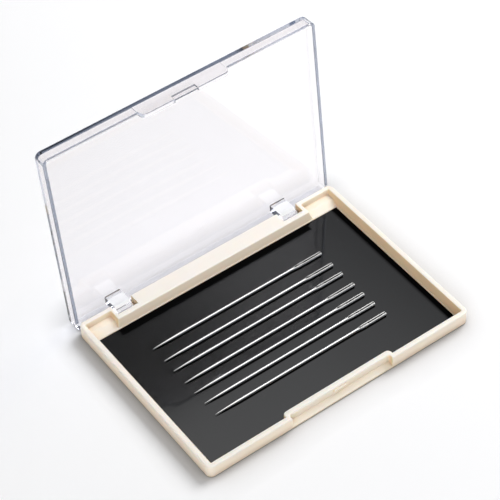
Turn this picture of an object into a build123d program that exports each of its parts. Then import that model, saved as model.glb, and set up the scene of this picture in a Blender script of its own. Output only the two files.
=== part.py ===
from build123d import *
import math
import os

# A magnetic needle case: a shallow moulded tray with a black magnetic sheet, seven long
# needles lying on it, and a clear lid on two lugs that turn in notches of the rear block.
# Millimetres, +Z up. X runs along the hinge, Y from the thumb recess to the hinge. The origin
# is the middle of the tray's underside. The lid is shown open, as it stands on the table.

# Case outline
case_length = 105.0
case_depth = 75.0
corner_radius = 2.2

# Tray
base_height = 5.2
wall = 1.8
rear_wall = 1.6
floor_thickness = 1.0
rim_round = 0.45
foot_round = 0.4
wall_lean = 1.0
cavity_corner_radius = 0.4
land_height = 2.0
land_width = 0.4

# Rear block between the corner pockets, by its distance from each side and its depth at the rim
block_inset_left = 12.0
block_inset_right = 13.9
block_depth = 6.35
ledge_height = 3.3
ledge_depth = 3.2

# Thumb recess in the front wall, with its catch rib
recess_length = 40.3
recess_depth = 1.8
recess_wall = 2.05
recess_side_wall = 1.45
recess_corner_radius = 0.8
recess_back_corner_radius = 1.6
recess_floor_back = 2.2
recess_floor_front = 0.9
catch_length = 4.8
catch_height = 3.8
catch_thickness = 0.8
catch_reach = 0.45

# Magnetic sheet and the film that holds it
sheet_thickness = 0.75
film_thickness = 0.1
film_margin = 0.6
sheet_clearance = 0.1

# Lid
lid_height = 5.3
parting_gap = 0.1
lid_wall = 1.2
lid_plate = 1.3
lid_edge_round = 0.8
lid_inner_round = 0.4
lid_rim_round = 0.2

# Lid tab that drops into the thumb recess
tab_length = 34.0
tab_reach = 2.4
tab_thickness = 1.55
tab_corner_radius = 2.3
tab_pocket_depth = 0.8
tab_pocket_length = 9.0

# Hinge: the pivot is measured from the tray's rear face and from its rim
pivot_inset = 1.75
pivot_drop = 2.765
open_angle = 94.5
lug_width = 6.0
lug_inset_left = 17.0
lug_inset_right = 19.3
lug_gap = 1.1
lug_front = 2.45
lug_end_radius = 1.5
lug_shoulder = 0.9
lug_end_turn = 37.0
notch_clearance = 0.3
stub_radius = 0.6
stub_clearance = 0.05
stub_grip = 0.7
stub_end_clearance = 0.1
rolling_clearance = 0.1

# Needles
needle_length = 69.3
needle_diameter = 1.1
needle_rows = (18.25, 24.0, 29.4, 34.8, 41.05, 46.4, 52.9)
needle_starts = (15.3, 15.1, 14.9, 15.0, 14.9, 14.85, 14.9)
needle_lay_gap = 0.02
point_length = 12.0
point_radius = 0.05
head_length = 12.5
head_width = 1.65
head_thickness = 0.8
head_blend = 3.0
nose_length = 0.7
nose_spread = 1.15
eye_length = 6.0
eye_width = 0.5
eye_end = 1.7
groove_depth = 0.15
groove_length = 3.6

# Places that follow from the sizes above
left = -case_length / 2
right = case_length / 2
front = -case_depth / 2
rear = case_depth / 2
lid_base = base_height + parting_gap
lid_top = lid_base + lid_height
pivot_y = rear - pivot_inset
pivot_z = base_height - pivot_drop
sheet_bottom = floor_thickness + film_thickness
sheet_top = sheet_bottom + sheet_thickness
recess_back = front + recess_depth + recess_wall
block_left = left + block_inset_left
block_right = right - block_inset_right
block_face = rear - block_depth
lug_places = (left + lug_inset_left, right - lug_inset_right)
notch_width = lug_width + 2 * lug_gap
through = case_length + case_depth


def side_profile(points):
    """A closed outline in the YZ plane, from (y, z) points."""
    return Plane.YZ * make_face(Polyline(*points, close=True))


def across(profile, x_low, x_high):
    """The YZ profile as a bar from x_low to x_high."""
    return Pos(x_low, 0, 0) * extrude(profile, x_high - x_low, dir=(1, 0, 0))


def slab(x_low, x_high, y_low, y_high, z_low, z_high):
    """A box by its two ends along each axis."""
    middle = Pos((x_low + x_high) / 2, (y_low + y_high) / 2, (z_low + z_high) / 2)
    return middle * Box(x_high - x_low, y_high - y_low, z_high - z_low)


def slab_plan(x_low, x_high, y_low, y_high):
    """A plain rectangle, by its two ends along X and Y."""
    return Pos((x_low + x_high) / 2, (y_low + y_high) / 2) * Rectangle(x_high - x_low, y_high - y_low)


def plan(x_low, x_high, y_low, y_high, radius):
    """A rectangle with rounded corners, by its two ends along X and Y."""
    middle = Pos((x_low + x_high) / 2, (y_low + y_high) / 2)
    return middle * RectangleRounded(x_high - x_low, y_high - y_low, radius)


def case_plan(inset=0.0):
    """The case's outline, taken inwards by an inset."""
    return plan(left + inset, right - inset, front + inset, rear - inset, corner_radius - inset)


def recess_step(inset):
    """The outline of the step that the front wall makes behind the thumb recess, grown by an inset."""
    half = recess_length / 2 + recess_side_wall + inset
    corner = recess_back_corner_radius + inset
    whole = plan(-half, half, front - 4 * corner, recess_back + inset, corner)
    return whole & slab_plan(left, right, front + wall / 2, rear)


def rim_plan(grow):
    """The tray's inner outline with the pockets beside the rear block, taken outwards a little."""
    hollow = slab_plan(
        left + wall - grow, right - wall + grow, front + wall - grow, rear - rear_wall + grow
    )
    return hollow - slab_plan(block_left + grow, block_right - grow, block_face + grow, 2 * rear)


def sheet_plan(inset):
    """The outline of the sheet's seat, taken inwards by an inset."""
    edge = wall + wall_lean + land_width + inset
    back = block_face - wall_lean - land_width - inset
    return slab_plan(left + edge, right - edge, front + edge, back) - recess_step(inset)


def leaning_hollow():
    """The space above the land: its walls lean in towards the sheet, and meet in small rounds."""
    drop = base_height - land_height
    over = base_height - drop
    grow = wall_lean * over / drop
    space = extrude(Pos(0, 0, land_height) * rim_plan(grow), drop + 2 * over)
    floor = space.faces().sort_by(Axis.Z)[0]
    space = chamfer(floor.edges(), wall_lean + grow, drop + over, reference=floor)
    leaning = [e for e in space.edges() if e.bounding_box().size.Z > drop and e.center().Z < base_height]
    return fillet(leaning, cavity_corner_radius)


def front_step():
    """The step behind the thumb recess, upright from the tray's floor to its rim."""
    low = floor_thickness / 2
    return Pos(0, 0, low) * extrude(recess_step(0), base_height - low)


def pocket_floor():
    """The ledge and the slope that fill the lower part of the corner pockets."""
    foot = block_face - wall_lean
    ledge = rear - rear_wall - ledge_depth
    steps = side_profile([
        (foot, floor_thickness), (foot, land_height), (ledge, ledge_height),
        (rear - rear_wall / 2, ledge_height), (rear - rear_wall / 2, floor_thickness),
    ])
    return across(steps, left + wall / 2, right - wall / 2)


def thumb_recess():
    """The cut in the front wall, with a floor that slopes out to the front edge."""
    half = recess_length / 2
    outline = plan(-half, half, front - recess_length, front + recess_depth, recess_corner_radius)
    above = extrude(outline, 2 * base_height)
    slope = (recess_floor_back - recess_floor_front) / recess_depth
    run_out = recess_depth
    scoop = side_profile([
        (front - run_out, recess_floor_front - slope * run_out), (front + recess_depth, recess_floor_back),
        (front + recess_depth, 2 * base_height), (front - run_out, 2 * base_height),
    ])
    return above & across(scoop, left, right)


def catch_rib():
    """The small rib on the recess wall that stands in the pocket of the lid's tab."""
    face = front + recess_depth
    half = catch_thickness / 2
    ridge = side_profile([
        (face + recess_wall / 2, catch_height + half), (face, catch_height + half),
        (face - catch_reach, catch_height + half / 3), (face - catch_reach, catch_height - half / 3),
        (face, catch_height - half), (face + recess_wall / 2, catch_height - half),
    ])
    return across(ridge, -catch_length / 2, catch_length / 2)


def hinge_notch(centre):
    """One notch of the rear block, with a blind hole for a stub in each of its walls."""
    half = notch_width / 2
    low = pivot_z - lug_end_radius - notch_clearance
    gap = slab(
        centre - half, centre + half, pivot_y - lug_front - notch_clearance, rear + wall, low, 2 * base_height
    )
    hole_reach = half + stub_grip + stub_end_clearance
    hole = Cylinder(stub_radius + stub_clearance, 2 * hole_reach, rotation=(0, 90, 0))
    return gap + Pos(centre, pivot_y, pivot_z) * hole


def base_tray():
    """The moulded tray, with its rear block, corner pockets and thumb recess."""
    body = extrude(case_plan(), base_height)
    body = fillet(body.edges().group_by(Axis.Z)[0], foot_round)
    body -= leaning_hollow()
    body -= Pos(0, 0, floor_thickness) * extrude(sheet_plan(0), land_height - floor_thickness)
    body += pocket_floor()
    body += front_step()
    body -= thumb_recess()
    rim = body.faces().filter_by(Axis.Z).sort_by(Axis.Z)[-1]
    body = fillet(rim.edges(), rim_round)
    for centre in lug_places:
        body -= hinge_notch(centre)
    return body + catch_rib()


def magnetic_sheet():
    """The flexible magnetic sheet in the tray's floor."""
    outline = sheet_plan(sheet_clearance)
    return Pos(0, 0, sheet_bottom) * extrude(outline, sheet_thickness)


def adhesive_film():
    """The film under the sheet, held a little in from the sheet's edges."""
    outline = sheet_plan(sheet_clearance + film_margin)
    return Pos(0, 0, floor_thickness) * extrude(outline, film_thickness)


def lug_profile():
    """A lug's outline seen from the side, lid closed: a leg with a round end about the pivot."""
    root = lid_top - lid_plate / 2
    wall_face = rear - lid_wall / 2
    clear = rear - lid_wall
    turn = math.radians(lug_end_turn)
    along = lug_end_radius * math.cos(turn)
    down = lug_end_radius * math.sin(turn)
    toe = (pivot_y - along, pivot_z - down)
    bottom = (pivot_y + down, pivot_z - along)
    heel = (pivot_y + along, pivot_z + down)
    neck = pivot_z + relief_radius()
    outline = Polyline(
        toe, (pivot_y - lug_front, pivot_z + lug_shoulder), (pivot_y - lug_front, root),
        (wall_face, root), (wall_face, neck), (clear, neck), heel,
    )
    return Plane.YZ * make_face(outline + ThreePointArc(heel, bottom, toe))


def relief_radius():
    """How far from the pivot the lid's rear edge starts, so that it rolls over the tray's corner."""
    return math.hypot(pivot_inset, pivot_drop) + rolling_clearance


def lug(centre):
    """One lug with its two stubs, lid closed."""
    leg = across(lug_profile(), centre - lug_width / 2, centre + lug_width / 2)
    reach = notch_width / 2 + stub_grip
    stubs = Cylinder(stub_radius, 2 * reach, rotation=(0, 90, 0))
    return leg + Pos(centre, pivot_y, pivot_z) * stubs


def lid_tab():
    """The tab on the lid's front wall, with a pocket in its inner face for the catch rib."""
    low = lid_base - tab_reach
    half = tab_length / 2
    outline = plan(-half, half, low, lid_top + tab_length, tab_corner_radius)
    upright = extrude(Plane.XZ.offset(-front - tab_thickness) * outline, tab_thickness)
    body = upright & slab(left, right, front, rear, low, lid_top - lid_edge_round)
    pocket = slab(
        -tab_pocket_length / 2, tab_pocket_length / 2,
        front + tab_thickness - tab_pocket_depth, front + 2 * tab_thickness,
        low - tab_reach, lid_base,
    )
    return body - pocket


def closed_lid():
    """The clear lid as it lies on the tray."""
    shell = extrude(Pos(0, 0, lid_base) * case_plan(), lid_height)
    shell = fillet(shell.edges().group_by(Axis.Z)[-1], lid_edge_round)
    hollow = extrude(Pos(0, 0, lid_base) * case_plan(lid_wall), lid_height - lid_plate)
    hollow = fillet(hollow.edges().group_by(Axis.Z)[-1], lid_inner_round)
    shell -= hollow
    shell = fillet(shell.edges().group_by(Axis.Z)[0], lid_rim_round)
    shell -= Pos(0, pivot_y, pivot_z) * Cylinder(relief_radius(), through, rotation=(0, 90, 0))
    shell += lid_tab()
    for centre in lug_places:
        shell += lug(centre)
    return shell


def open_lid():
    """The lid turned back about its pivot until its rear edge is just over the table."""
    hinge = Axis((0, pivot_y, pivot_z), (1, 0, 0))
    return closed_lid().rotate(hinge, -open_angle)


def nose_plan():
    """The head's outline from above, its nose at the origin, pointing along +X."""
    half = nose_spread * head_width / 2
    start, end = (-nose_length, half), (-nose_length, -half)
    sides = Polyline(start, (-head_length, half), (-head_length, -half), end)
    return make_face(ThreePointArc(end, (0, 0), start) + sides)


def stamped_profile():
    """The head's two flats seen from the side, sloping out to the wire where the head begins."""
    half = head_thickness / 2
    slope = needle_diameter / 2 - half
    start, end = (-nose_length, half), (-nose_length, -half)
    upper = [(-head_length - head_blend, half + 2 * slope), (head_blend - head_length, half), start]
    lower = [(x, -z) for x, z in reversed(upper)]
    return Plane.XZ * make_face(ThreePointArc(end, (0, 0), start) + Polyline(*lower, *upper))


def needle_head():
    """The flattened end of a needle with its long eye, its tip at the origin, pointing along +X."""
    blend = Pos(head_blend - head_length, 0, 0)
    oval = Plane.YZ * Ellipse(head_width / 2, needle_diameter / 2)
    round_end = Pos(-head_length, 0, 0) * (Plane.YZ * Circle(needle_diameter / 2))
    head = blend * extrude(oval, head_length - head_blend, dir=(1, 0, 0))
    head += loft([round_end, blend * oval])
    head &= extrude(nose_plan(), head_width, both=True)
    head &= extrude(stamped_profile(), head_width, both=True)
    eye = Pos(-eye_end - eye_length / 2, 0) * SlotOverall(eye_length, eye_width)
    head -= extrude(eye, head_width, both=True)
    groove_start = eye_end + eye_length + groove_length
    groove = Pos((head_width - groove_start) / 2, 0) * SlotOverall(groove_start + head_width, eye_width)
    for side in (1, -1):
        head -= Pos(0, 0, side * (head_thickness / 2 - groove_depth)) * extrude(groove, side * head_width)
    return head


def needle(start, row):
    """One needle lying along X, its point at the left."""
    radius = needle_diameter / 2
    shaft_end = needle_length - head_length
    edge = Polyline((0, 0), (0, point_radius))
    edge += TangentArc((point_length, radius), (0, point_radius), tangent=(-1, 0))
    edge += Polyline((point_length, radius), (shaft_end, radius), (shaft_end, 0), (0, 0))
    shaft = revolve(Plane.XZ * make_face(edge), Axis.X)
    whole = shaft + Pos(needle_length, 0, 0) * needle_head()
    return Pos(left + start, front + row, sheet_top + radius + needle_lay_gap) * whole


def pieces():
    """Every piece of the case by name."""
    made = {
        "base_tray": base_tray(),
        "magnetic_sheet": magnetic_sheet(),
        "adhesive_film": adhesive_film(),
        "clear_lid": open_lid(),
    }
    for number, (start, row) in enumerate(zip(needle_starts, needle_rows), start=1):
        made[f"needle_{number}"] = needle(start, row)
    return made


os.makedirs("parts", exist_ok=True)
for name, solid in pieces().items():
    export_step(solid, f"parts/{name}.step")
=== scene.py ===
"""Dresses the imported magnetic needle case: finishes, studio light and camera.

Lengths in the dataclasses are millimetres, as on the part's drawing, and turn to metres where they are used.
X runs along the hinge, Y from the thumb recess to the hinge, Z up, and the origin is the middle of the tray's
underside.
"""

import logging
import math
from dataclasses import dataclass
from typing import Any

import bpy
from mathutils import Matrix, Vector


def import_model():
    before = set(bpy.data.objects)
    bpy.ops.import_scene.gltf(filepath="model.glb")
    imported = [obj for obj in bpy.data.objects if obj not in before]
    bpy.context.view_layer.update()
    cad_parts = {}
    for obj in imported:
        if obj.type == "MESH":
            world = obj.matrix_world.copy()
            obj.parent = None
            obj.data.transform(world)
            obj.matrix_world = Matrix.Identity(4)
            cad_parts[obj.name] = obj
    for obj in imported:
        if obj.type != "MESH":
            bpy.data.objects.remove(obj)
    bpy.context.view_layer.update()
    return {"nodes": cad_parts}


MM = 0.001
# Bounces are whole numbers, so this lies between the first and the second
ONE_BOUNCE = 1.5
log = logging.getLogger("needle_case")


def linear(code: str) -> tuple[float, float, float, float]:
    """Turns an sRGB hex colour to the linear colour that shaders take.

    Args:
        code: six hex digits, such as "F0E4D4".

    Returns:
        Red, green, blue and an alpha of 1.
    """
    parts = [int(code[i : i + 2], 16) / 255 for i in (0, 2, 4)]
    red, green, blue = (c / 12.92 if c <= 0.04045 else ((c + 0.055) / 1.055) ** 2.4 for c in parts)
    return (red, green, blue, 1.0)


def add_node(tree: bpy.types.NodeTree, kind: str, inputs: dict[str, Any], **settings: Any) -> bpy.types.Node:
    """Adds one node, with its settings and its inputs.

    Args:
        tree: the node tree it goes into.
        kind: Blender's name for the kind of node.
        inputs: input name or number to a value, or to the output socket that feeds it.
        settings: the node's own properties.

    Returns:
        The new node.
    """
    node = tree.nodes.new(kind)
    for name, value in settings.items():
        setattr(node, name, value)
    for name, value in inputs.items():
        if isinstance(value, bpy.types.NodeSocket):
            tree.links.new(value, node.inputs[name])
        else:
            node.inputs[name].default_value = value
    return node


def empty_tree(owner: bpy.types.Material | bpy.types.World) -> bpy.types.NodeTree:
    """Gives a material or the world an empty node tree.

    Args:
        owner: the material or world.

    Returns:
        Its node tree, without nodes.
    """
    owner.use_nodes = True
    owner.node_tree.nodes.clear()
    return owner.node_tree


def mirror_sight(tree: bpy.types.NodeTree, path: bpy.types.Node) -> bpy.types.NodeSocket:
    """Tells a mirror's sight of a surface from a sight through clear plastic.

    Args:
        tree: the finish's node tree.
        path: its light path node.

    Returns:
        An output that is 1 for the mirror's sight and 0 for any other.
    """
    mirrored = add_node(
        tree,
        "ShaderNodeMath",
        {0: path.outputs["Is Glossy Ray"], 1: path.outputs["Is Transmission Ray"]},
        operation="GREATER_THAN",
    )
    return mirrored.outputs["Value"]


def dress(piece: bpy.types.Object, finish: bpy.types.Material) -> None:
    """Gives a piece one finish in all its material slots.

    Args:
        piece: the object to dress.
        finish: its new material.
    """
    piece.data.materials.clear()
    piece.data.materials.append(finish)
    log.info("%s is finished in %s", piece.name, finish.name)


@dataclass(frozen=True)
class MouldedAbs:
    """Ivory ABS, injection moulded in a fine spark-eroded tool.

    The eroded tool leaves a soft, half-gloss sheen. Its pits are finer than the picture shows, so they are
    drawn
    coarser, at erosion_mm. Red light wanders furthest through the thin walls. The rest is painted into the
    colour:
    the open rim is painted almost white as painted light, and the hollows and the inner walls that face away
    from the soft lamp are painted honey coloured as painted shade.
    """

    # Open faces are painted whiter as painted light; hollows and walls turned from the soft lamp get painted
    # shade.
    open_colour: str = "F0E9E0"
    wall_colour: str = "F8EAD7"
    hollow_colour: str = "E0CAAE"
    painted_side_shade: str = "ECD6B0"
    ior: float = 1.54
    roughness: float = 0.38
    scatter_mm: tuple[float, float, float] = (2.6, 1.9, 1.3)
    scatter_share: float = 0.45
    reach_mm: float = 6.0
    reach_samples: int = 12
    hollow_from: float = 0.45
    hollow_to: float = 0.78
    open_from: float = 0.9
    open_to: float = 0.99
    erosion_mm: float = 0.35
    erosion_detail: float = 3.0
    gloss_spread: float = 0.05
    painted_reflection_colour: str = "1C1814"
    side_from: float = 0.5
    side_to: float = 0.85
    inside_from_mm: float = -51.0

    def material(self) -> bpy.types.Material:
        """Makes the finish.

        A mirror's first sight of the tray is a painted reflection: a dark diffuse shade that stands for the
        shaded insides of its walls.

        Returns:
            The material.
        """
        made = bpy.data.materials.new("ivory_moulded_abs")
        tree = empty_tree(made)
        place = add_node(tree, "ShaderNodeTexCoord", {})
        # Painted light and shade: open faces are painted almost white, and hollows are painted honey
        # coloured.
        openness = add_node(
            tree,
            "ShaderNodeAmbientOcclusion",
            {"Distance": self.reach_mm * MM},
            samples=self.reach_samples,
        )
        deep = add_node(
            tree,
            "ShaderNodeMapRange",
            {"Value": openness.outputs["AO"], "From Min": self.hollow_from, "From Max": self.hollow_to},
        )
        wide = add_node(
            tree,
            "ShaderNodeMapRange",
            {"Value": openness.outputs["AO"], "From Min": self.open_from, "From Max": self.open_to},
        )
        walls = add_node(
            tree,
            "ShaderNodeMix",
            {
                "Factor": deep.outputs["Result"],
                "A": linear(self.hollow_colour),
                "B": linear(self.wall_colour),
            },
            data_type="RGBA",
        )
        tint = add_node(
            tree,
            "ShaderNodeMix",
            {"Factor": wide.outputs["Result"], "A": walls.outputs["Result"], "B": linear(self.open_colour)},
            data_type="RGBA",
        )
        # Painted shade: the inner walls that face away from the soft lamp are painted honey coloured.
        warm = add_node(
            tree,
            "ShaderNodeMix",
            {
                "Factor": self.shaded_sides(tree, place.outputs["Object"]),
                "A": tint.outputs["Result"],
                "B": linear(self.painted_side_shade),
            },
            data_type="RGBA",
        )
        grain = add_node(
            tree,
            "ShaderNodeTexNoise",
            {
                "Vector": place.outputs["Object"],
                "Scale": 1 / (self.erosion_mm * MM),
                "Detail": self.erosion_detail,
            },
        )
        gloss = add_node(
            tree,
            "ShaderNodeMapRange",
            {
                "Value": grain.outputs["Fac"],
                "To Min": self.roughness - self.gloss_spread,
                "To Max": self.roughness + self.gloss_spread,
            },
        )
        shell = add_node(
            tree,
            "ShaderNodeBsdfPrincipled",
            {
                "Base Color": warm.outputs["Result"],
                "Roughness": gloss.outputs["Result"],
                "IOR": self.ior,
                "Subsurface Weight": self.scatter_share,
                "Subsurface Radius": self.scatter_mm,
                "Subsurface Scale": MM,
            },
        )
        path = add_node(tree, "ShaderNodeLightPath", {})
        first = add_node(
            tree, "ShaderNodeMath", {0: path.outputs["Glossy Depth"], 1: ONE_BOUNCE}, operation="LESS_THAN"
        )
        mirrored = add_node(
            tree,
            "ShaderNodeMath",
            {0: mirror_sight(tree, path), 1: first.outputs["Value"]},
            operation="MULTIPLY",
        )
        # Painted reflection: in the mirror's first sight the tray is swapped for this dark shade.
        shade = add_node(tree, "ShaderNodeBsdfDiffuse", {"Color": linear(self.painted_reflection_colour)})
        whole = add_node(
            tree,
            "ShaderNodeMixShader",
            {0: mirrored.outputs["Value"], 1: shell.outputs["BSDF"], 2: shade.outputs["BSDF"]},
        )
        add_node(tree, "ShaderNodeOutputMaterial", {"Surface": whole.outputs["Shader"]})
        return made

    def shaded_sides(self, tree: bpy.types.NodeTree, place: bpy.types.NodeSocket) -> bpy.types.NodeSocket:
        """Finds the walls inside the case that face left, away from the soft lamp, where honey shade is
        painted.

        Args:
            tree: the finish's node tree.
            place: the output with the place on the tray.

        Returns:
            An output that is 1 on those walls and 0 elsewhere.
        """
        face = add_node(tree, "ShaderNodeNewGeometry", {})
        turned = add_node(
            tree,
            "ShaderNodeVectorMath",
            {0: face.outputs["Normal"], 1: (-1.0, 0.0, 0.0)},
            operation="DOT_PRODUCT",
        )
        facing = add_node(
            tree,
            "ShaderNodeMapRange",
            {"Value": turned.outputs["Value"], "From Min": self.side_from, "From Max": self.side_to},
        )
        split = add_node(tree, "ShaderNodeSeparateXYZ", {"Vector": place})
        inside = add_node(
            tree,
            "ShaderNodeMath",
            {0: split.outputs["X"], 1: self.inside_from_mm * MM},
            operation="GREATER_THAN",
        )
        both = add_node(
            tree,
            "ShaderNodeMath",
            {0: facing.outputs["Result"], 1: inside.outputs["Value"]},
            operation="MULTIPLY",
        )
        return both.outputs["Value"]


@dataclass(frozen=True)
class MagneticRubber:
    """Ferrite-filled rubber, calendered between smooth rolls: near black, and it mirrors the room dimly.

    Its slight clouds come from wear on the rolls. Two margins have no sheen, along the right wall and along
    the rear
    block: painted shade that stands for the walls' dark reflection in the sheet.
    """

    colour: str = "050505"
    wear_and_painted_shade: str = "0A0A0B"
    painted_pale_in_edges: str = "8F96A4"
    ior: float = 1.52
    roughness: float = 0.07
    gloss_spread: float = 0.02
    sheen: float = 0.5
    cloud_mm: float = 14.0
    cloud_detail: float = 3.0
    right_margin_mm: float = 46.9
    rear_margin_mm: float = 26.45
    block_middle_mm: float = -2.9
    block_half_mm: float = 39.3
    margin_blur_mm: float = 0.6

    def material(self) -> bpy.types.Material:
        """Makes the finish.

        Light that has turned inside the lid's edges finds the sheet painted pale, painted light that keeps
        the edges clear.

        Returns:
            The material.
        """
        made = bpy.data.materials.new("calendered_magnetic_rubber")
        tree = empty_tree(made)
        place = add_node(tree, "ShaderNodeTexCoord", {})
        clouds = add_node(
            tree,
            "ShaderNodeTexNoise",
            {
                "Vector": place.outputs["Object"],
                "Scale": 1 / (self.cloud_mm * MM),
                "Detail": self.cloud_detail,
            },
        )
        tint = add_node(
            tree,
            "ShaderNodeMix",
            {"Factor": clouds.outputs["Fac"], "A": linear(self.colour), "B": linear(self.wear_and_painted_shade)},
            data_type="RGBA",
        )
        path = add_node(tree, "ShaderNodeLightPath", {})
        turns = add_node(
            tree,
            "ShaderNodeMath",
            {0: path.outputs["Glossy Depth"], 1: path.outputs["Is Transmission Ray"]},
            operation="ADD",
        )
        turned = add_node(
            tree, "ShaderNodeMath", {0: turns.outputs["Value"], 1: ONE_BOUNCE}, operation="GREATER_THAN"
        )
        # Painted light: seen from inside the lid's edges, the sheet is painted pale grey-blue.
        pale = add_node(
            tree,
            "ShaderNodeMix",
            {"Factor": turned.outputs["Value"], "A": tint.outputs["Result"], "B": linear(self.painted_pale_in_edges)},
            data_type="RGBA",
        )
        gloss = add_node(
            tree,
            "ShaderNodeMapRange",
            {
                "Value": clouds.outputs["Fac"],
                "To Min": self.roughness - self.gloss_spread,
                "To Max": self.roughness + self.gloss_spread,
            },
        )
        # Painted shade: the sheen is taken off the margins by the walls, so the sheet shows black there.
        painted_shade_margin = self.margins(tree, place.outputs["Object"])
        sheen = add_node(
            tree, "ShaderNodeMapRange", {"Value": painted_shade_margin, "To Min": self.sheen, "To Max": 0.0}
        )
        skin = add_node(
            tree,
            "ShaderNodeBsdfPrincipled",
            {
                "Base Color": pale.outputs["Result"],
                "Roughness": gloss.outputs["Result"],
                "IOR": self.ior,
                "Specular IOR Level": sheen.outputs["Result"],
            },
        )
        add_node(tree, "ShaderNodeOutputMaterial", {"Surface": skin.outputs["BSDF"]})
        return made

    def margins(self, tree: bpy.types.NodeTree, place: bpy.types.NodeSocket) -> bpy.types.NodeSocket:
        """Finds the two margins without sheen, where shade is painted.

        Args:
            tree: the finish's node tree.
            place: the output with the place on the sheet.

        Returns:
            An output that is 1 on the margins and 0 elsewhere.
        """
        split = add_node(tree, "ShaderNodeSeparateXYZ", {"Vector": place})
        right = self.step(tree, split.outputs["X"], self.right_margin_mm)
        rear = self.step(tree, split.outputs["Y"], self.rear_margin_mm)
        off = add_node(
            tree,
            "ShaderNodeMath",
            {0: split.outputs["X"], 1: self.block_middle_mm * MM},
            operation="SUBTRACT",
        )
        aside = add_node(tree, "ShaderNodeMath", {0: off.outputs["Value"]}, operation="ABSOLUTE")
        past = self.step(tree, aside.outputs["Value"], self.block_half_mm)
        at_block = add_node(tree, "ShaderNodeMath", {0: rear, 1: past}, operation="SUBTRACT")
        both = add_node(tree, "ShaderNodeMath", {0: right, 1: at_block.outputs["Value"]}, operation="MAXIMUM")
        return both.outputs["Value"]

    def step(
        self, tree: bpy.types.NodeTree, value: bpy.types.NodeSocket, at_mm: float
    ) -> bpy.types.NodeSocket:
        """Makes a soft step.

        Args:
            tree: the finish's node tree.
            value: the output that is stepped.
            at_mm: where the step is, in millimetres.

        Returns:
            An output that rises from 0 to 1 there.
        """
        low, high = (at_mm - self.margin_blur_mm) * MM, (at_mm + self.margin_blur_mm) * MM
        rise = add_node(tree, "ShaderNodeMapRange", {"Value": value, "From Min": low, "From Max": high})
        return rise.outputs["Result"]


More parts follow.
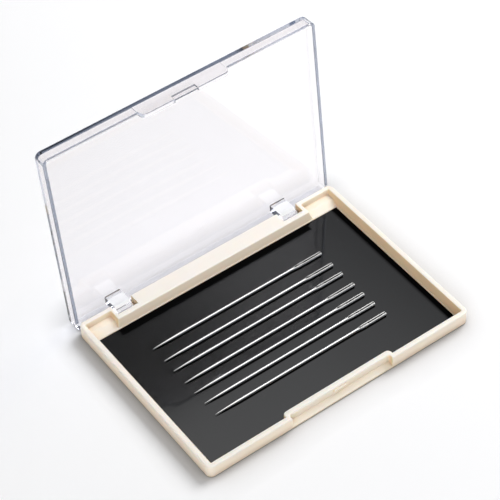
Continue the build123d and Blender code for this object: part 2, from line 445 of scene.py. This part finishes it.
@dataclass(frozen=True)
class ClearStyrene:
    """General-purpose polystyrene, moulded in a mirror-finished tool: water clear, with grey-blue edges.

    The rims of its side walls are tinted slate grey, painted shade that stands for the dark look of the clear
    edges.
    The lugs' faces that lie on top when the lid is open are painted white and let less light through: a
    painted highlight of the overhead light, seen as white squares.
    """

    colour: str = "FBF9FA"
    shadow: str = "F4F5F8"
    painted_edge_tint: str = "C6CBD6"
    painted_rim_shade: str = "6F7789"
    mouth_at_mm: float = -38.45
    mouth_side_mm: float = 51.2
    open_angle: float = 94.5
    lugs_middle_mm: float = -1.15
    lugs_apart_mm: float = 34.35
    lug_half_mm: float = 3.0
    lug_face_from_mm: float = 4.2
    lug_face_to_mm: float = 41.0
    lug_face_upright: float = 0.8
    painted_highlight_white: str = "FFFFFF"
    painted_highlight_share: float = 0.75
    ior: float = 1.59
    roughness: float = 0.015
    edge_turns: float = 2.5

    def material(self) -> bpy.types.Material:
        """Makes the finish.

        Light on its way to the lamps goes straight through, as real clear plastic lets it. Light that has
        turned a few times inside the edges is let straight out in a set grey-blue: painted light that stands
        for the resin's tint a long way through it.

        Returns:
            The material.
        """
        made = bpy.data.materials.new("clear_moulded_styrene")
        tree = empty_tree(made)
        place = add_node(tree, "ShaderNodeTexCoord", {})
        # Painted shade: the rims of the side walls are tinted slate grey.
        resin = add_node(
            tree,
            "ShaderNodeMix",
            {"Factor": self.side_rims(tree, place), "A": linear(self.colour), "B": linear(self.painted_rim_shade)},
            data_type="RGBA",
        )
        # Painted highlight: these faces are painted white and let less light through.
        face = self.lug_faces(tree, place)
        surface = add_node(
            tree,
            "ShaderNodeMix",
            {"Factor": face, "A": resin.outputs["Result"], "B": linear(self.painted_highlight_white)},
            data_type="RGBA",
        )
        passing = add_node(
            tree, "ShaderNodeMapRange", {"Value": face, "To Min": 1.0, "To Max": 1.0 - self.painted_highlight_share}
        )
        clear = add_node(
            tree,
            "ShaderNodeBsdfPrincipled",
            {
                "Base Color": surface.outputs["Result"],
                "Roughness": self.roughness,
                "IOR": self.ior,
                "Transmission Weight": passing.outputs["Result"],
            },
        )
        path = add_node(tree, "ShaderNodeLightPath", {})
        # Painted light: light that has turned inside the edges leaves straight out, tinted grey-blue.
        tint = add_node(
            tree,
            "ShaderNodeMix",
            {"Factor": path.outputs["Is Shadow Ray"], "A": linear(self.painted_edge_tint), "B": linear(self.shadow)},
            data_type="RGBA",
        )
        through = add_node(tree, "ShaderNodeBsdfTransparent", {"Color": tint.outputs["Result"]})
        turned = add_node(
            tree,
            "ShaderNodeMath",
            {0: path.outputs["Glossy Depth"], 1: self.edge_turns},
            operation="GREATER_THAN",
        )
        straight = add_node(
            tree,
            "ShaderNodeMath",
            {0: path.outputs["Is Shadow Ray"], 1: turned.outputs["Value"]},
            operation="MAXIMUM",
        )
        whole = add_node(
            tree,
            "ShaderNodeMixShader",
            {0: straight.outputs["Value"], 1: clear.outputs["BSDF"], 2: through.outputs["BSDF"]},
        )
        add_node(tree, "ShaderNodeOutputMaterial", {"Surface": whole.outputs["Shader"]})
        return made

    def side_rims(self, tree: bpy.types.NodeTree, place: bpy.types.Node) -> bpy.types.NodeSocket:
        """Finds the rims of the lid's left and right walls, which meet the tray when it is closed.

        Args:
            tree: the finish's node tree.
            place: its texture coordinate node.

        Returns:
            An output that is 1 on the rims and 0 elsewhere.
        """
        angle = math.radians(self.open_angle)
        depth = add_node(
            tree,
            "ShaderNodeVectorMath",
            {0: place.outputs["Object"], 1: (0.0, -math.sin(angle), -math.cos(angle))},
            operation="DOT_PRODUCT",
        )
        at_mouth = add_node(
            tree,
            "ShaderNodeMath",
            {0: depth.outputs["Value"], 1: self.mouth_at_mm * MM},
            operation="GREATER_THAN",
        )
        split = add_node(tree, "ShaderNodeSeparateXYZ", {"Vector": place.outputs["Object"]})
        outwards = add_node(tree, "ShaderNodeMath", {0: split.outputs["X"]}, operation="ABSOLUTE")
        at_side = add_node(
            tree,
            "ShaderNodeMath",
            {0: outwards.outputs["Value"], 1: self.mouth_side_mm * MM},
            operation="GREATER_THAN",
        )
        both = add_node(
            tree,
            "ShaderNodeMath",
            {0: at_mouth.outputs["Value"], 1: at_side.outputs["Value"]},
            operation="MULTIPLY",
        )
        return both.outputs["Value"]

    def lug_faces(self, tree: bpy.types.NodeTree, place: bpy.types.Node) -> bpy.types.NodeSocket:
        """Finds the lugs' faces that lie on top when the lid is open, where a highlight is painted.

        Args:
            tree: the finish's node tree.
            place: its texture coordinate node.

        Returns:
            An output that is 1 on those faces and 0 elsewhere.
        """
        split = add_node(tree, "ShaderNodeSeparateXYZ", {"Vector": place.outputs["Object"]})
        turn = add_node(tree, "ShaderNodeSeparateXYZ", {"Vector": place.outputs["Normal"]})
        across = add_node(
            tree, "ShaderNodeMath", {0: split.outputs["X"], 1: self.lugs_middle_mm * MM}, operation="SUBTRACT"
        )
        outwards = add_node(tree, "ShaderNodeMath", {0: across.outputs["Value"]}, operation="ABSOLUTE")
        wide = add_node(
            tree,
            "ShaderNodeMath",
            {0: outwards.outputs["Value"], 1: self.lugs_apart_mm * MM, 2: self.lug_half_mm * MM},
            operation="COMPARE",
        )
        high = add_node(
            tree,
            "ShaderNodeMath",
            {0: split.outputs["Z"], 1: self.lug_face_from_mm * MM},
            operation="GREATER_THAN",
        )
        near = add_node(
            tree,
            "ShaderNodeMath",
            {0: split.outputs["Y"], 1: self.lug_face_to_mm * MM},
            operation="LESS_THAN",
        )
        upward = add_node(
            tree, "ShaderNodeMath", {0: turn.outputs["Z"], 1: self.lug_face_upright}, operation="GREATER_THAN"
        )
        found = wide.outputs["Value"]
        for test in (high, near, upward):
            both = add_node(
                tree,
                "ShaderNodeMath",
                {0: found, 1: test.outputs["Value"]},
                operation="MULTIPLY",
            )
            found = both.outputs["Value"]
        return found


@dataclass(frozen=True)
class NickelledSteel:
    """Carbon steel wire, ground lengthways and nickel plated: bright, with fine lines along the needle.

    The grinding lines are finer than the picture shows, so they are drawn coarser, line_mm apart. Eyes and
    gutters are painted almost black: painted shade, where little light gets into them.
    """

    colour: str = "DAD9D6"
    line: str = "C6C5C2"
    painted_eye_shade: str = "1E1D1C"
    mirrored: str = "3A3938"
    eye_mm: float = 0.7
    eye_samples: int = 12
    eye_from: float = 0.74
    eye_to: float = 1.0
    roughness: float = 0.29
    smoother: float = 0.05
    rougher: float = 0.06
    line_mm: float = 0.12
    line_detail: float = 2.0
    stretch: float = 60.0

    def material(self) -> bpy.types.Material:
        """Makes the finish.

        In a mirror the needles are painted darker, a painted reflection that stands for their shaded
        undersides.

        Returns:
            The material.
        """
        made = bpy.data.materials.new("nickelled_needle_steel")
        tree = empty_tree(made)
        place = add_node(tree, "ShaderNodeTexCoord", {})
        drawn = add_node(
            tree,
            "ShaderNodeMapping",
            {"Vector": place.outputs["Object"], "Scale": (1 / self.stretch, 1.0, 1.0)},
        )
        lines = add_node(
            tree,
            "ShaderNodeTexNoise",
            {
                "Vector": drawn.outputs["Vector"],
                "Scale": 1 / (self.line_mm * MM),
                "Detail": self.line_detail,
            },
        )
        tint = add_node(
            tree,
            "ShaderNodeMix",
            {"Factor": lines.outputs["Fac"], "A": linear(self.colour), "B": linear(self.line)},
            data_type="RGBA",
        )
        # Painted shade: where the steel is shut in, in eyes and gutters, it is painted near black.
        openness = add_node(
            tree,
            "ShaderNodeAmbientOcclusion",
            {"Distance": self.eye_mm * MM},
            samples=self.eye_samples,
            only_local=True,
        )
        unshaded_steel = add_node(
            tree,
            "ShaderNodeMapRange",
            {"Value": openness.outputs["AO"], "From Min": self.eye_from, "From Max": self.eye_to},
        )
        wear_and_painted_shade = add_node(
            tree,
            "ShaderNodeMix",
            {"Factor": unshaded_steel.outputs["Result"], "A": linear(self.painted_eye_shade), "B": tint.outputs["Result"]},
            data_type="RGBA",
        )
        path = add_node(tree, "ShaderNodeLightPath", {})
        # Painted reflection: seen in a mirror, the steel takes a darker colour.
        shown = add_node(
            tree,
            "ShaderNodeMix",
            {"Factor": mirror_sight(tree, path), "A": wear_and_painted_shade.outputs["Result"], "B": linear(self.mirrored)},
            data_type="RGBA",
        )
        gloss = add_node(
            tree,
            "ShaderNodeMapRange",
            {
                "Value": lines.outputs["Fac"],
                "To Min": self.roughness - self.smoother,
                "To Max": self.roughness + self.rougher,
            },
        )
        metal = add_node(
            tree,
            "ShaderNodeBsdfPrincipled",
            {"Base Color": shown.outputs["Result"], "Metallic": 1.0, "Roughness": gloss.outputs["Result"]},
        )
        add_node(tree, "ShaderNodeOutputMaterial", {"Surface": metal.outputs["BSDF"]})
        return made


@dataclass(frozen=True)
class AcrylicAdhesive:
    """Acrylic transfer adhesive, cast as a film: milky and a little streaked."""

    colour: str = "D6D0BF"
    streak: str = "C6BFAC"
    roughness: float = 0.45
    streak_mm: float = 4.0
    streak_detail: float = 2.0

    def material(self) -> bpy.types.Material:
        """Makes the finish.

        Returns:
            The material.
        """
        made = bpy.data.materials.new("acrylic_adhesive_film")
        tree = empty_tree(made)
        place = add_node(tree, "ShaderNodeTexCoord", {})
        streaks = add_node(
            tree,
            "ShaderNodeTexNoise",
            {
                "Vector": place.outputs["Object"],
                "Scale": 1 / (self.streak_mm * MM),
                "Detail": self.streak_detail,
            },
        )
        tint = add_node(
            tree,
            "ShaderNodeMix",
            {"Factor": streaks.outputs["Fac"], "A": linear(self.colour), "B": linear(self.streak)},
            data_type="RGBA",
        )
        film = add_node(
            tree,
            "ShaderNodeBsdfPrincipled",
            {"Base Color": tint.outputs["Result"], "Roughness": self.roughness},
        )
        add_node(tree, "ShaderNodeOutputMaterial", {"Surface": film.outputs["BSDF"]})
        return made


@dataclass
class Tray:
    """The moulded tray with its magnetic sheet and the film that holds the sheet."""

    nodes: dict[str, bpy.types.Object]

    def build(self) -> None:
        """Dresses the tray's three nodes."""
        dress(self.nodes["base_tray"], MouldedAbs().material())
        dress(self.nodes["magnetic_sheet"], MagneticRubber().material())
        dress(self.nodes["adhesive_film"], AcrylicAdhesive().material())


@dataclass
class Lid:
    """The clear lid with its tab and lugs."""

    nodes: dict[str, bpy.types.Object]

    def build(self) -> None:
        """Dresses the lid."""
        dress(self.nodes["clear_lid"], ClearStyrene().material())


@dataclass
class Needles:
    """The long-eyed needles on the sheet."""

    nodes: dict[str, bpy.types.Object]

    def build(self) -> None:
        """Dresses every needle in the same steel."""
        steel = NickelledSteel().material()
        for name in sorted(self.nodes):
            if name.startswith("needle_"):
                dress(self.nodes[name], steel)


@dataclass
class Studio:
    """A white table, two soft lamps and a white room.

    Glass and metal see that room in more detail. It is bright overhead, greyer half way up and bright again
    at the horizon: overhead, half_up and horizon are its strengths there. A black flag hangs over its rear
    left, and the sheet mirrors it as its darkest part. Right of the flag the room dims again. The edges of
    both are slopes: how far a line of sight runs across or along for each step that it rises.
    """

    floor_side: float = 3000.0
    floor_colour: str = "FAFAFB"
    floor_roughness: float = 0.6
    contact_mm: float = 12.0
    contact_samples: int = 16
    through_share: float = 0.55
    through_lift: float = 0.05
    white: str = "FFFFFF"
    sky_strength: float = 0.42
    high: str = "FFFFFF"
    low: str = "8E95A2"
    low_height: float = 0.5
    high_height: float = 0.92
    half_up: float = 0.62
    overhead: float = 2.15
    horizon: float = 1.5
    horizon_from: float = 0.42
    horizon_to: float = 0.15
    flag_shade: float = 0.02
    flag_right_from: float = 0.41
    flag_right_to: float = 0.555
    flag_right_strength: float = 1.2
    flag_front_from: float = 0.710
    flag_front_to: float = 0.688
    dim_from: float = 0.49
    dim_to: float = 0.60
    dim_strength: float = 0.45
    key_size: float = 480.0
    key_power: float = 7.9
    key_from: tuple[float, float, float] = (700.0, 130.0, 700.0)
    fill_size: float = 600.0
    fill_power: float = 3.6
    fill_from: tuple[float, float, float] = (-720.0, -740.0, 300.0)

    def build(self) -> None:
        """Makes the table, the room's light and the lamps."""
        self.floor()
        self.room()
        self.lamp("soft_lamp", self.key_from, self.key_size, self.key_power)
        self.lamp("fill_lamp", self.fill_from, self.fill_size, self.fill_power)

    def floor(self) -> None:
        """Lays the table top under the case. Its colour is darkened near the case as painted contact shade;
        glass sees it with less of that painted shade, and with a little painted glow.
        """
        half = self.floor_side * MM / 2
        mesh = bpy.data.meshes.new("table_top")
        corners = [(-half, -half, 0), (half, -half, 0), (half, half, 0), (-half, half, 0)]
        mesh.from_pydata(corners, [], [(0, 1, 2, 3)])
        table = bpy.data.objects.new("table_top", mesh)
        bpy.context.scene.collection.objects.link(table)
        made = bpy.data.materials.new("white_table_laminate")
        tree = empty_tree(made)
        # Painted shade: the table's colour darkens near the case and its parts.
        contact = add_node(
            tree,
            "ShaderNodeAmbientOcclusion",
            {"Color": linear(self.floor_colour), "Distance": self.contact_mm * MM},
            samples=self.contact_samples,
        )
        path = add_node(tree, "ShaderNodeLightPath", {})
        share = add_node(
            tree,
            "ShaderNodeMath",
            {0: path.outputs["Is Transmission Ray"], 1: self.through_share},
            operation="MULTIPLY",
        )
        paint = add_node(
            tree,
            "ShaderNodeMix",
            {
                "Factor": share.outputs["Value"],
                "A": contact.outputs["Color"],
                "B": linear(self.floor_colour),
            },
            data_type="RGBA",
        )
        top = add_node(
            tree,
            "ShaderNodeBsdfPrincipled",
            {
                "Base Color": paint.outputs["Result"],
                "Roughness": self.floor_roughness,
                "Specular IOR Level": 0.0,
            },
        )
        # Painted light: seen through glass, the table glows a little.
        lift = add_node(
            tree,
            "ShaderNodeMath",
            {0: path.outputs["Is Transmission Ray"], 1: self.through_lift},
            operation="MULTIPLY",
        )
        glow = add_node(tree, "ShaderNodeEmission", {"Strength": lift.outputs["Value"]})
        whole = add_node(tree, "ShaderNodeAddShader", {0: top.outputs["BSDF"], 1: glow.outputs["Emission"]})
        add_node(tree, "ShaderNodeOutputMaterial", {"Surface": whole.outputs["Shader"]})
        mesh.materials.append(made)

    def room(self) -> None:
        """Lights the scene evenly, and shows glass and metal the room's walls, horizon and flag.

        Light that has bounced more than once doesn't meet the flag, so that it leaves no smears in the lid.
        """
        world = bpy.data.worlds.new("studio_room")
        bpy.context.scene.world = world
        tree = empty_tree(world)
        way = add_node(tree, "ShaderNodeTexCoord", {})
        split = add_node(tree, "ShaderNodeSeparateXYZ", {"Vector": way.outputs["Generated"]})
        height = add_node(
            tree,
            "ShaderNodeMapRange",
            {"Value": split.outputs["Z"], "From Min": self.low_height, "From Max": self.high_height},
            interpolation_type="SMOOTHSTEP",
        )
        wall = add_node(
            tree,
            "ShaderNodeMix",
            {"Factor": height.outputs["Result"], "A": linear(self.low), "B": linear(self.high)},
            data_type="RGBA",
        )
        lift = add_node(
            tree,
            "ShaderNodeMapRange",
            {"Value": height.outputs["Result"], "To Min": self.half_up, "To Max": self.overhead},
        )
        across = add_node(
            tree,
            "ShaderNodeMath",
            {0: split.outputs["X"], 1: split.outputs["Z"]},
            operation="DIVIDE",
        )
        along = add_node(
            tree,
            "ShaderNodeMath",
            {0: split.outputs["Y"], 1: split.outputs["Z"]},
            operation="DIVIDE",
        )
        right = add_node(
            tree,
            "ShaderNodeMapRange",
            {
                "Value": across.outputs["Value"],
                "From Min": self.flag_right_from,
                "From Max": self.flag_right_to,
                "To Min": self.flag_shade,
                "To Max": self.flag_right_strength,
            },
            interpolation_type="SMOOTHSTEP",
        )
        front = add_node(
            tree,
            "ShaderNodeMapRange",
            {
                "Value": along.outputs["Value"],
                "From Min": self.flag_front_from,
                "From Max": self.flag_front_to,
            },
            interpolation_type="SMOOTHSTEP",
        )
        path = add_node(tree, "ShaderNodeLightPath", {})
        turned = add_node(
            tree, "ShaderNodeMath", {0: path.outputs["Glossy Depth"], 1: ONE_BOUNCE}, operation="GREATER_THAN"
        )
        above_flag = add_node(
            tree,
            "ShaderNodeMath",
            {0: front.outputs["Result"], 1: turned.outputs["Value"]},
            operation="MAXIMUM",
        )
        clear_of_flag = add_node(
            tree,
            "ShaderNodeMath",
            {0: right.outputs["Result"], 1: above_flag.outputs["Value"]},
            operation="MAXIMUM",
        )
        side = add_node(
            tree,
            "ShaderNodeMapRange",
            {
                "Value": across.outputs["Value"],
                "From Min": self.dim_from,
                "From Max": self.dim_to,
                "To Min": 1.0,
                "To Max": self.dim_strength,
            },
        )
        flag = add_node(
            tree,
            "ShaderNodeMath",
            {0: clear_of_flag.outputs["Value"], 1: side.outputs["Result"]},
            operation="MULTIPLY",
        )
        flagged = add_node(
            tree,
            "ShaderNodeMath",
            {0: lift.outputs["Result"], 1: flag.outputs["Value"]},
            operation="MULTIPLY",
        )
        skyline = add_node(
            tree,
            "ShaderNodeMapRange",
            {
                "Value": split.outputs["Z"],
                "From Min": self.horizon_from,
                "From Max": self.horizon_to,
                "To Max": self.horizon,
            },
            interpolation_type="SMOOTHSTEP",
        )
        power = add_node(
            tree,
            "ShaderNodeMath",
            {0: flagged.outputs["Value"], 1: skyline.outputs["Result"]},
            operation="ADD",
        )
        seen = add_node(
            tree,
            "ShaderNodeBackground",
            {"Color": wall.outputs["Result"], "Strength": power.outputs["Value"]},
        )
        lit = add_node(
            tree, "ShaderNodeBackground", {"Color": linear(self.white), "Strength": self.sky_strength}
        )
        mirrored = add_node(
            tree,
            "ShaderNodeMath",
            {0: path.outputs["Is Glossy Ray"], 1: path.outputs["Is Transmission Ray"]},
            operation="MAXIMUM",
        )
        white = add_node(tree, "ShaderNodeBackground", {"Color": linear(self.white), "Strength": 1.0})
        bounced = add_node(
            tree,
            "ShaderNodeMixShader",
            {0: mirrored.outputs["Value"], 1: lit.outputs["Background"], 2: seen.outputs["Background"]},
        )
        both = add_node(
            tree,
            "ShaderNodeMixShader",
            {0: path.outputs["Is Camera Ray"], 1: bounced.outputs["Shader"], 2: white.outputs["Background"]},
        )
        add_node(tree, "ShaderNodeOutputWorld", {"Surface": both.outputs["Shader"]})

    def lamp(self, name: str, at: tuple[float, float, float], size: float, power: float) -> None:
        """Hangs one square soft lamp, facing the case.

        Args:
            name: the lamp's name.
            at: its place in millimetres.
            size: its side in millimetres.
            power: its power in watts.
        """
        lamp = bpy.data.lights.new(name, "AREA")
        lamp.shape = "SQUARE"
        lamp.size = size * MM
        lamp.energy = power
        hung = bpy.data.objects.new(name, lamp)
        hung.location = Vector(at) * MM
        hung.rotation_euler = (-hung.location).to_track_quat("-Z", "Y").to_euler()
        bpy.context.scene.collection.objects.link(hung)


@dataclass
class View:
    """The photograph's viewpoint, solved from the case's own edges."""

    azimuth: float = -33.687
    elevation: float = 47.078
    roll: float = -3.339
    distance: float = 680.10
    look_at: tuple[float, float, float] = (14.666, 33.339, 0.0)
    lens_mm: float = 142.62
    sensor_mm: float = 36.0
    nearest_mm: float = 10.0

    def build(self) -> None:
        """Makes the camera and gives it to the scene."""
        turn, lift, lean = (math.radians(a) for a in (self.azimuth, self.elevation, self.roll))
        back = Vector((math.sin(turn) * math.cos(lift), -math.cos(turn) * math.cos(lift), math.sin(lift)))
        level = Vector((math.cos(turn), math.sin(turn), 0.0))
        rise = back.cross(level)
        right = level * math.cos(lean) + rise * math.sin(lean)
        up = -level * math.sin(lean) + rise * math.cos(lean)
        lens = bpy.data.cameras.new("photo_view")
        lens.sensor_fit = "HORIZONTAL"
        lens.sensor_width = self.sensor_mm
        lens.lens = self.lens_mm
        lens.clip_start = self.nearest_mm * MM
        camera = bpy.data.objects.new("photo_view", lens)
        place = (Vector(self.look_at) + back * self.distance) * MM
        camera.matrix_world = Matrix((right, up, back)).transposed().to_4x4()
        camera.matrix_world.translation = place
        bpy.context.scene.collection.objects.link(camera)
        bpy.context.scene.camera = camera


def main() -> None:
    """Builds the dressed case, the studio and the view."""
    logging.basicConfig(level=logging.INFO, format="%(name)s: %(message)s")
    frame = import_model()
    bpy.context.scene.view_settings.view_transform = "Standard"
    Tray(frame["nodes"]).build()
    Lid(frame["nodes"]).build()
    Needles(frame["nodes"]).build()
    Studio().build()
    View().build()


if __name__ == "__main__":
    main()
